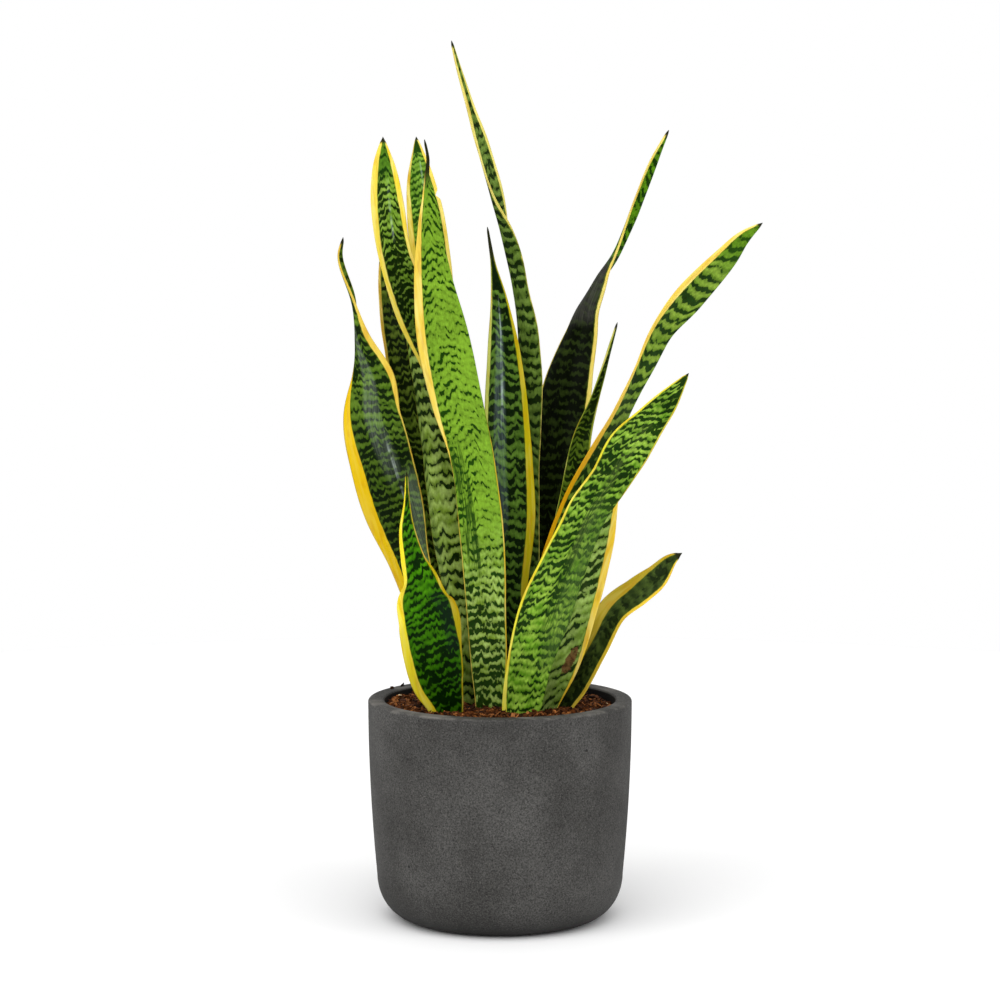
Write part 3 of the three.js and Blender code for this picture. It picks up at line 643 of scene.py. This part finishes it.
def leaf_streak(g, streak, more):
    """Where one long streak shows, and how strongly."""
    start, share_start, end, share_end, half, strength, _, streaky = streak
    slant = (share_end - share_start) / (end - start)
    middle = g.along * slant + (share_start - slant * start)
    soft = (end - start) * 0.2
    shown = abs(g.share - middle).smooth(half, half * 0.5) * strength
    shown *= g.along.smooth(start, start + soft) * g.along.smooth(end, end - soft)
    if half < THIN_STREAK:
        shown *= g.leaf_noise("pause", more).smooth(0.3, 0.6)
    if streaky:
        grain = g.leaf_noise("streak", more).smooth(0.44, 0.56)
        shown *= grain * streaky + (1 - streaky)
    return shown


def leaf_scar(g, scar):
    """Where a healed scar shows: a slanting oval with a torn edge."""
    middle, reach, side, half, slant = scar
    along = g.along - middle
    length = along * (1 / reach)
    width = (g.share - (along * slant + side)) * (1 / half)
    far = g.math("SQRT", length * length + width * width)
    torn = g.noise(g.vector(g.across * 0.7, along * 0.3, g.seed + SCAR_SEED), detail=3)
    return (far + torn.around(1.4)).smooth(1.1, 0.8) * 0.92


def leaf_green(g, style, bands, fibre):
    """The green between the margins, with its marks, some of which are painted shade and painted
    sheen, its painted reflections and its scar.
    """
    dark, halo, swell = bands
    blotch, fleck = g.leaf_noise("blotch"), g.leaf_noise("fleck")
    lighter = swell * 0.3 + 0.45 + blotch.around(2.2)
    green = g.mix(lighter, style["light"], style["light2"])
    deep = style["dark"]
    if style["upper"]:
        start, end, light_above, dark_above = style["upper"]
        above = g.along.smooth(start, end)
        green = g.mix(above, green, light_above)
        deep = g.mix(above, deep, dark_above)
    green = g.vary(green, (fibre, 0.5), (g.leaf_noise("patch"), 0.7), (fleck, 1.0))
    green = g.mix(halo * 0.34, green, deep)
    inked = g.vary(deep, (blotch, 1.6), (fleck, 2.4))
    green = g.mix(dark * (fleck.around(0.4) + 0.95), green, inked)
    # Marks mixed into the green: the leaf's own streaks, painted shade and a painted sheen
    for number, mark in enumerate(style["marks"]):
        green = g.mix(leaf_streak(g, mark, MARK_SEED + NEXT_SEED * number), green, mark[6])
    # Pale reflections, painted by adding light to the green
    for number, shine in enumerate(style["shine"]):
        shown = leaf_streak(g, shine, SHINE_SEED + NEXT_SEED * number)
        green = g.value("VectorMath", green, g.shade(shine[6], shown))
    if style["scar"]:
        dry = g.mix(fleck.smooth(0.35, 0.6), SCAR_BROWN, SCAR_TAN)
        green = g.mix(leaf_scar(g, style["scar"]), green, dry)
    return green


def leaf_yellow(g, style):
    """The yellow of the margins, with cream streaks, stains, specks and a thin brown edge."""
    yellow = g.mix(g.across.smooth(-0.5, 0.5), style["minus"], style["plus"])
    creamy = g.leaf_noise("tint").smooth(0.42, 0.66) * (0.6 * style["cream"])
    yellow = g.mix(creamy, yellow, CREAM)
    # Towards the foot the margins are painted a deeper gold, as painted shade
    if style["gold_shade"]:
        yellow = g.mix(g.along.smooth(*style["gold_shade"]), yellow, GOLD_IN_SHADE)
    yellow = g.mix(g.leaf_noise("stain").smooth(0.48, 0.7) * 0.35, yellow, STAIN_ORANGE)
    yellow = g.mix(g.leaf_noise("speck").smooth(0.76, 0.8) * 0.3, yellow, EDGE_BROWN)
    return g.mix(g.attribute("leaf_edge").smooth(0.5, 0.1) * 0.12, yellow, EDGE_BROWN)


def leaf_material(name, style, seed):
    """Waxy green with dark cross bands, yellow margins, a thin brown edge and a dry tip."""
    g = LeafGraph(name, seed)
    bands = leaf_bands(g, style)
    fibre, wax = g.leaf_noise("fibre"), g.leaf_noise("wax")
    rim = g.attribute("leaf_rim") + g.leaf_noise("wobble").around(0.9)
    green = leaf_green(g, style, bands, fibre)
    green = g.mix(rim.smooth(1.0, 0.2) * 0.5, green, BORDER_GREEN)
    yellow = leaf_yellow(g, style)

    # The yellow takes on less of the foot's painted shade, and of the painted shade along the
    # leaf, than the green
    shaded = g.along.smooth(*FOOT_SHADE, style["shade_foot"])
    green = g.shade(green, shaded)
    yellow = g.shade(yellow, shaded * 0.7 + 0.3)
    # Painted shade that changes along the leaf, from one factor to another
    if style["shade_along"]:
        painted_shade = g.along.smooth(*style["shade_along"])
        green = g.shade(green, painted_shade)
        yellow = g.shade(yellow, painted_shade * 0.3 + 0.7)
    color = g.mix(rim.smooth(-0.25, 0.25), yellow, green)
    dry = g.attribute("leaf_left").smooth(style["tip"], style["tip"] * 0.55)
    relief = fibre * 0.5 + (wax * 0.5 - bands[0] * 0.25)
    return g.surface(
        Base_Color=g.mix(dry, color, TIP_BROWN), Roughness=wax.around(0.22) + 0.36,
        Specular_IOR_Level=0.04, Normal=g.bump(relief, 0.35, 0.4))


def concrete_material():
    """Matte dark grey cast concrete: cloudy, finely speckled and pitted, with a rim worn and
    painted lighter, and with painted shade inside and towards its foot.
    """
    g = Graph("concrete")
    place = g.place()
    cloud = g.noise(place, scale=16, detail=4, roughness=0.6)
    grain = g.noise(place, scale=800, detail=3, roughness=0.8)
    speck = g.noise(place, scale=1000, detail=1)
    color = g.mix(cloud.smooth(0.3, 0.7), (54, 53, 51), (74, 73, 71))
    color = g.vary(color, (grain, 4.4))
    color = g.mix(speck.smooth(0.66, 0.74) * 0.4, color, (124, 121, 116))
    rare = g.noise(place, scale=30, detail=1).smooth(0.58, 0.64)
    pits = g.cells(place, 62).smooth(0.1, 0.055) * rare
    color = g.mix(pits * 0.8, color, (22, 22, 22))
    # The rim painted lighter: partly wear, partly painted light on its top and a painted highlight
    # on its outer edge
    wear_and_light = g.attribute("pot_rim") * g.noise(place, scale=45, detail=3).smooth(0.42, 0.7)
    color = g.mix(wear_and_light * 0.5, color, (138, 134, 128))
    # The inside is painted dark as shade
    color = g.mix(g.attribute("pot_inside"), color, (24, 22, 20))
    # Painted shade by height, darker towards the foot
    return g.surface(
        Base_Color=g.shade(color, g.attribute("pot_tone")),
        Roughness=grain.around(0.3) + 0.78, Specular_IOR_Level=0.25,
        Normal=g.bump(grain * 0.6 - pits * 2.0, 0.5, 0.5))


def soil_material():
    """Moist reddish-brown coir."""
    g = Graph("soil")
    place = g.place()
    crumb = g.noise(place, scale=260, detail=4, roughness=0.65)
    color = g.mix(crumb.smooth(0.3, 0.7), (28, 9, 1), (88, 45, 14))
    color = g.vary(color, (g.noise(place, scale=60), 0.8))
    # The soil's light is painted shade in the gaps between crumbs and painted light on their tops
    return g.surface(
        Base_Color=g.shade(color, g.attribute("soil_light")), Roughness=0.9,
        Specular_IOR_Level=0.1, Normal=g.bump(crumb, 0.8, 1.2))


def chip_material():
    """Coir crumbs and bark chips, each with a tone from near black to tan. A few are pale."""
    g = Graph("soil_chips")
    tone = g.attribute("chip_tone")
    grain = g.noise(g.place(), scale=700, detail=3)
    color = g.mix(tone.smooth(0.0, 0.6), (30, 10, 2), (84, 44, 12))
    color = g.mix(tone.smooth(0.6, 0.98), color, (150, 94, 48))
    color = g.mix(tone.smooth(0.99, 0.994), color, (206, 182, 144))
    color = g.vary(color, (grain, 0.9))
    # The chips' light is painted: darker as shade in the soil's gaps, lighter on its crumbs
    return g.surface(
        Base_Color=g.shade(color, g.attribute("chip_light")), Roughness=0.7,
        Specular_IOR_Level=0.15, Normal=g.bump(grain, 0.5, 0.5))


def rootstock_material():
    """Fleshy ochre underground stem with darker rings."""
    g = Graph("rootstock")
    ring = g.noise(g.place(), scale=90)
    color = g.mix(ring.smooth(0.4, 0.6), (206, 160, 84), (168, 118, 58))
    return g.surface(Base_Color=color, Roughness=0.6, Normal=g.bump(ring, 0.4, 1.0))


def add_object(name, data):
    thing = bpy.data.objects.new(name, data)
    bpy.context.scene.collection.objects.link(thing)
    return thing


def make_piece(name, vertices, faces, material, numbers=(), smooth=True):
    """A mesh piece from points in millimetres, with named numbers at each point."""
    mesh = bpy.data.meshes.new(name)
    mesh.from_pydata([tuple(p) for p in np.asarray(vertices, float) * MM], [], faces)
    for key, values in dict(numbers).items():
        mesh.attributes.new(key, "FLOAT", "POINT").data.foreach_set(
            "value", np.asarray(values, np.float32))
    mesh.polygons.foreach_set("use_smooth", [smooth] * len(mesh.polygons))
    mesh.materials.append(material)
    mesh.update()
    return add_object(name, mesh)


def dress(piece, slot, *nodes):
    """Fixes a piece to the plant's one body, in place of CAD nodes. Its slot is not used."""
    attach(piece, "root")
    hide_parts(*nodes)


def quarter_arc(center, radii, start, end, steps):
    """Points of a quarter ellipse between two angles, both in quarter turns."""
    return [
        (center[0] + radii[0] * math.cos(angle), center[1] + radii[1] * math.sin(angle))
        for angle in np.linspace(start, end, steps + 1) * math.pi / 2
    ]


def wall_radius(z):
    """Radius of the pot's outer wall above its bottom corner."""
    down = (POT_HEIGHT - z) / (POT_HEIGHT - POT_CORNER_UP)
    return POT_RADIUS - POT_TAPER * down * down


def inner_profile(clearance):
    """The inside of the pot from below the rim to the middle of its floor."""
    corner_top = POT_FLOOR + POT_CORNER_UP - POT_WALL
    corner_x = wall_radius(corner_top) - POT_WALL - INNER_CORNER_OUT
    wall = [
        (wall_radius(z) - POT_WALL - clearance, z)
        for z in np.linspace(INNER_TOP, corner_top, INNER_RINGS)[:-1]
    ]
    radii = (INNER_CORNER_OUT - clearance, corner_top - POT_FLOOR - clearance)
    corner = quarter_arc((corner_x, corner_top), radii, 0, -1, ARC_STEPS)
    return wall + corner + [(0, POT_FLOOR + clearance)]


def pot_profile():
    """The pot's section, from the middle of its underside round the rim to that of its floor."""
    center = (wall_radius(POT_CORNER_UP) - POT_CORNER_OUT, POT_CORNER_UP)
    flat = [(share * center[0], 0) for share in (0, 0.3, 0.6, 0.9)]
    corner = quarter_arc(center, (POT_CORNER_OUT, POT_CORNER_UP), -1, 0, FOOT_STEPS)
    wall = [(wall_radius(z), z) for z in np.linspace(OUTER_FOOT, OUTER_TOP, OUTER_RINGS)]
    top = POT_HEIGHT - RIM_ROUND
    radii = (RIM_ROUND, RIM_ROUND)
    outer = quarter_arc((POT_RADIUS - RIM_ROUND, top), radii, 0, 1, ARC_STEPS)
    inner = quarter_arc((POT_RADIUS - POT_WALL + RIM_ROUND, top), radii, 1, 2, ARC_STEPS)
    return flat + corner + wall + outer + inner + inner_profile(0)


def revolve(profile, sides):
    """Vertices and faces of a profile, which starts and ends on the axis, turned about +Z."""
    vertices = [(0, 0, profile[0][1])]
    for radius, z in profile[1:-1]:
        for i in range(sides):
            angle = 2 * math.pi * i / sides
            vertices.append((radius * math.cos(angle), radius * math.sin(angle), z))
    vertices.append((0, 0, profile[-1][1]))
    rings = len(profile) - 2
    last = len(vertices) - 1
    faces = []
    for i in range(sides):
        j = (i + 1) % sides
        faces.append((0, 1 + j, 1 + i))
        for ring in range(rings - 1):
            a, b = 1 + ring * sides, 1 + (ring + 1) * sides
            faces.append((a + i, a + j, b + j, b + i))
        a = 1 + (rings - 1) * sides
        faces.append((a + i, a + j, last))
    return vertices, faces


def make_pot():
    """The cast pot. Numbers mark where its rim is worn and painted lighter, its inside painted
    dark as shade, and its foot painted darker as shade.
    """
    vertices, faces = revolve(pot_profile(), POT_SIDES)
    x, y, z = np.array(vertices, float).T
    radius = np.hypot(x, y)
    rim_foot = POT_HEIGHT - RIM_ROUND
    outward = (radius - (POT_RADIUS - RIM_ROUND)) / RIM_ROUND
    upward = (z - rim_foot) / RIM_ROUND
    outer_edge = np.maximum(0, np.minimum(outward, upward))
    within = radius < POT_RADIUS - POT_WALL + 0.2
    numbers = {
        "pot_rim": np.clip(upward, 0, 1) * TOP_WEAR_AND_LIGHT + EDGE_WEAR_AND_HIGHLIGHT * outer_edge,
        "pot_inside": within & (z >= POT_FLOOR) & (z < rim_foot + 0.5),
        "pot_tone": np.interp(z, *POT_SHADE_TONES),
    }
    pot = make_piece("pot_cast", vertices, faces, concrete_material(), numbers)
    dress(pot, "concrete", "pot")


def soil_height(x, y):
    """Height of the soil, as in the solids."""
    edge = POT_RADIUS - POT_WALL
    mound = SOIL_MOUND * (1 - (x * x + y * y) / (edge * edge))
    slope = SOIL_SLOPE[0] * x + SOIL_SLOPE[1] * y
    lumps = math.sin(x * 0.31 + 1.3 * math.sin(y * 0.17)) + math.sin(y * 0.37 - 0.11 * x + 2)
    return SOIL_EDGE + mound + slope + SOIL_RELIEF * 0.5 * lumps


def lump_height(x, y, kind):
    """How far one kind of the soil's finer lumps stands out of it."""
    width, layer, height = kind
    return height * noise.noise(Vector((x / width, y / width, layer)))


def crumb_relief(x, y):
    return lump_height(x, y, CRUMBS) + lump_height(x, y, GRIT)


def crumb_height(x, y):
    """Height of the soil with its clods and crumbs."""
    return soil_height(x, y) + lump_height(x, y, CLODS) + crumb_relief(x, y)


def daylight(x, y):
    """How light the soil is painted: painted shade in the gaps between crumbs, painted light on
    their tops.
    """
    return float(np.interp(crumb_relief(x, y), *DAYLIGHT))


def make_soil():
    """The body of soil with a crumbly top. It fills the pot, and the leaves pass through it."""
    edge = POT_RADIUS - POT_WALL - GAP
    surface = [(share * edge, POT_HEIGHT) for share in np.linspace(1, 0, SOIL_RINGS + 1)]
    vertices, faces = revolve(inner_profile(GAP)[::-1] + surface, SOIL_SIDES)
    shaped, light = [], []
    for x, y, z in vertices:
        on_top = z == POT_HEIGHT
        shaped.append((x, y, crumb_height(x, y) if on_top else z))
        light.append(daylight(x, y) if on_top else 1.0)
    soil = make_piece("soil_body", shaped, faces, soil_material(), {"soil_light": light})
    dress(soil, "soil", "soil")


def chip(rng, x, y, z, size):
    """The eight corners of one rough chip that lies nearly flat."""
    spin = rng.uniform(0, 2 * math.pi)
    tilt = rng.normal(0, CHIP_TILT, 2)
    points = np.array(CHIP_CORNERS, float) * np.array(size) / 2
    across, deep, high = (points * rng.uniform(*CORNER_SCALES, points.shape)).T
    east = across * math.cos(spin) - deep * math.sin(spin)
    north = across * math.sin(spin) + deep * math.cos(spin)
    up = high + (east * tilt[0] + north * tilt[1])
    return np.column_stack([east + x, north + y, up + z])


def make_chips():
    """Loose crumbs, flakes and fibres on the soil, and two crumbs on the rim, as one piece."""
    rng = np.random.default_rng(SEED)
    sizes, shares = zip(*CHIP_KINDS)
    reach = POT_RADIUS - POT_WALL - CHIP_MARGIN
    vertices, faces, tones, light = [], [], [], []

    def drop(x, y, z, size):
        start = len(vertices)
        vertices.extend(chip(rng, x, y, z, size))
        faces.extend(tuple(start + i for i in face) for face in CHIP_FACES)
        tones.extend([rng.uniform()] * len(CHIP_CORNERS))
        light.extend([daylight(x, y)] * len(CHIP_CORNERS))

    for _ in range(CHIPS):
        radius = reach * math.sqrt(rng.uniform())
        angle = rng.uniform(0, 2 * math.pi)
        x, y = radius * math.cos(angle), radius * math.sin(angle)
        size = np.array(sizes[rng.choice(len(sizes), p=shares)]) * rng.uniform(*CHIP_SCALES)
        drop(x, y, crumb_height(x, y) + rng.uniform(*CHIP_LIFTS), size)
    for x, y in RIM_CRUMBS:
        drop(x, y, POT_HEIGHT + RIM_CRUMB_LIFT, RIM_CRUMB_SIZE)
    numbers = {"chip_tone": tones, "chip_light": light}
    chips = make_piece("soil_chips", vertices, faces, chip_material(), numbers, smooth=False)
    dress(chips, "soil", "soil")


def curve_points(points, t):
    """Points of a smooth curve through evenly spaced rows, at shares t of its length."""
    padded = np.vstack([2 * points[0] - points[1], points, 2 * points[-1] - points[-2]])
    place = np.clip(t, 0, 1) * (len(points) - 1)
    i = np.minimum(place.astype(int), len(points) - 2)
    w = (place - i)[:, None]
    before, first, second, after = (padded[i + k] for k in range(4))
    leave, arrive = 0.5 * (second - before), 0.5 * (after - first)
    square = (3 * (second - first) - 2 * leave - arrive) * w ** 2
    cube = (2 * (first - second) + leave + arrive) * w ** 3
    return first + leave * w + square + cube


def unit(vectors):
    return vectors / np.linalg.norm(vectors, axis=1, keepdims=True)


def leaf_frames(points, turns, t):
    """Middle, inward normal and sideways axis of a leaf's sections."""
    step = 1e-4
    tangent = unit(curve_points(points, t + step) - curve_points(points, t - step))
    viewer = np.array([0.0, -1.0, 0.0])
    face = unit(viewer - tangent * (tangent @ viewer)[:, None])
    side = np.cross(tangent, face)
    turn = np.radians(turns)[:, None]
    normal = face * np.cos(turn) + side * np.sin(turn)
    across = side * np.cos(turn) - face * np.sin(turn)
    return curve_points(points, t), normal, across


def leaf_half(t, u, width):
    """Half the thickness of a leaf at each section and column, rounded off at its edges."""
    above = np.clip(t / LEAF_FOOT_SHARE, 0, 1)
    foot = 1 - above * above * (3 - 2 * above)
    middle = LEAF_MIDDLE + (LEAF_FOOT - LEAF_MIDDLE) * foot
    middle = np.minimum(middle, width * LEAF_PLUMP)[:, None]
    edge = np.minimum(LEAF_EDGE, middle)
    half = (edge + (middle - edge) * (1 - u ** 2)) / 2
    return half * np.sqrt(1 - np.abs(u) ** EDGE_POWER)


def full_rows(rows):
    """A leaf's rows, with the values that they leave out."""
    full = [rows[0]]
    for row in rows[1:]:
        full.append(row + full[-1][len(row):])
    return np.array(full, float)


def leaf_shape(name, wave, rows, number):
    """A leaf's front and back as grids of points, and the numbers that its material reads."""
    t = np.linspace(0, 1, (len(rows) - 1) * LEAF_STEPS + 1)
    s = np.linspace(-1, 1, LEAF_COLUMNS + 1)
    u = ((1 - CROWDING) * s + CROWDING * np.sin(s * math.pi / 2))[None, :]
    width, turns, cup = curve_points(rows[:, 3:6], t).T
    margins = curve_points(rows[:, 6:8], t)
    middle, normal, across = leaf_frames(rows[:, :3], turns, t)
    along = np.concatenate([[0], np.cumsum(np.linalg.norm(np.diff(middle, axis=0), axis=1))])
    left = along[-1] - along
    width = width * np.sqrt(np.clip(left / TIP_ROUND, TIP_LEAST, 1))
    inner = np.sin(math.pi * t)
    ripple = wave * np.sin(t * len(rows) * WAVE_RATE + rows[0][0]) * inner
    frill = FRILL_HEIGHT * np.sin(along / FRILL_LENGTH + number) * inner
    lift = (width * cup)[:, None] * u ** 2 + ripple[:, None] * u ** 3 + frill[:, None] * u ** 5
    half = leaf_half(t, u, width)
    if name in NICKS:
        place, reach, depth = NICKS[name]
        bite = np.clip(1 - np.abs(along - place) / reach, 0, 1) * depth
        u = np.where(u > 0, u * (1 - bite / (width / 2))[:, None], u)

    reach = width[:, None] / 2
    aside = reach * u
    base = middle[:, None] + across[:, None] * aside[:, :, None]
    front = base + normal[:, None] * (lift + half)[:, :, None]
    back = base + normal[:, None] * (lift - half)[:, :, None]
    minus, plus = (1 + u) * reach, (1 - u) * reach
    numbers = {
        "leaf_across": aside,
        "leaf_share": np.broadcast_to(u, aside.shape),
        "leaf_along": np.broadcast_to(along[:, None], aside.shape),
        "leaf_rim": np.minimum(minus - margins[:, :1], plus - margins[:, 1:]),
        "leaf_edge": np.minimum(minus, plus),
        "leaf_left": np.broadcast_to(left[:, None], aside.shape),
    }
    return front, back, numbers


def round_leaf(front, back):
    """Each section as one loop, along the front and home along the back."""
    return np.concatenate([front, back[:, 1:-1][:, ::-1]], axis=1)


def leaf_faces(rings, size):
    """Faces between the loops of a leaf, and caps over its foot and its tip."""
    faces = []
    for ring in range(rings):
        for j in range(size):
            a, b = ring * size + j, ring * size + (j + 1) % size
            faces.append((a, b, b + size, a + size))
    for start, flip in ((0, False), (rings * size, True)):
        for j in range(LEAF_COLUMNS):
            cap = dict.fromkeys([j, (size - j) % size, size - j - 1, j + 1])
            cap = tuple(start + corner for corner in cap)
            faces.append(cap[::-1] if flip else cap)
    return faces


def make_leaf(name, wave, rows, number):
    """One leaf as a closed mesh with its own material."""
    front, back, numbers = leaf_shape(name, wave, full_rows(rows), number)
    loops = round_leaf(front, back)
    numbers = {key: round_leaf(grid, grid).ravel() for key, grid in numbers.items()}
    faces = leaf_faces(loops.shape[0] - 1, loops.shape[1])
    style = {**BASE_STYLE, **STYLES[name]}
    material = leaf_material(name, style, LEAF_SEEDS[0] * number + LEAF_SEEDS[1])
    piece = make_piece(name + "_blade", loops.reshape(-1, 3), faces, material, numbers)
    dress(piece, style["slot"], name)


def make_floor():
    """A plain round white floor. What lies beyond it is as white to the camera."""
    g = Graph("floor")
    white = g.surface(Base_Color=FLOOR_WHITE, Roughness=0.9, Specular_IOR_Level=0.0)
    rim = [
        (FLOOR_REACH * math.cos(angle), FLOOR_REACH * math.sin(angle), 0)
        for angle in np.linspace(0, 2 * math.pi, FLOOR_SIDES, endpoint=False)
    ]
    make_piece("floor", rim, [tuple(range(FLOOR_SIDES))], white)


def make_world():
    """White behind everything, and light that comes mostly from above."""
    world = bpy.data.worlds.new("studio")
    bpy.context.scene.world = world
    g = Graph(world)
    up = g.value("SeparateXYZ", g.value("TexCoord", output="Generated"), output="Z")
    light = g.tree.nodes["Background"]
    g.put(light.inputs["Color"], WHITE)
    g.put(light.inputs["Strength"], up.smooth(*DOME))
    seen = g.value("Background", WHITE)
    camera_ray = g.value("LightPath", output="Is Camera Ray")
    both = g.value("MixShader", camera_ray, Value(g, light.outputs[0]), seen)
    g.put(g.tree.nodes["World Output"].inputs[0], both)


def make_sun(name, azimuth, elevation, strength, spread):
    """A soft light from far off. Azimuth 0 is the viewer's side, and positive is to the right."""
    data = bpy.data.lights.new(name, "SUN")
    data.energy = strength
    data.angle = math.radians(spread)
    turn = math.radians(azimuth)
    add_object(name, data).rotation_euler = (math.radians(90 - elevation), 0, turn)


def make_softbox(name, azimuth, distance, height, size, power):
    """A tall soft lamp at a distance from the pot's axis, facing it. The camera can't see it."""
    data = bpy.data.lights.new(name, "AREA")
    data.shape = "RECTANGLE"
    data.size, data.size_y = size
    data.energy = power
    lamp = add_object(name, data)
    turn = math.radians(azimuth)
    lamp.location = (distance * math.sin(turn), -distance * math.cos(turn), height)
    lamp.rotation_euler = (math.radians(90), 0, turn)
    lamp.visible_camera = False


def make_camera():
    """The photo's viewpoint: 2.2 m away, looking slightly down."""
    data = bpy.data.cameras.new("camera")
    data.sensor_width = 36
    data.lens = CAMERA_LENS
    camera = add_object("camera", data)
    camera.location = CAMERA_PLACE
    camera.rotation_euler = (math.radians(CAMERA_TILT), 0, 0)
    bpy.context.scene.camera = camera


def dress_rootstock():
    """Gives the solid rootstock, which stays as it is, a finer material."""
    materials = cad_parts["rootstock"].data.materials
    materials.clear()
    materials.append(rootstock_material())


make_camera()
make_world()
for sun in SUNS:
    make_sun(*sun)
for softbox in SOFTBOXES:
    make_softbox(*softbox)
make_floor()
make_pot()
make_soil()
make_chips()
dress_rootstock()
for number, (name, (wave, rows)) in enumerate(LEAVES.items(), 1):
    make_leaf(name, wave, rows, number)
bpy.context.scene.view_settings.view_transform = "Standard"
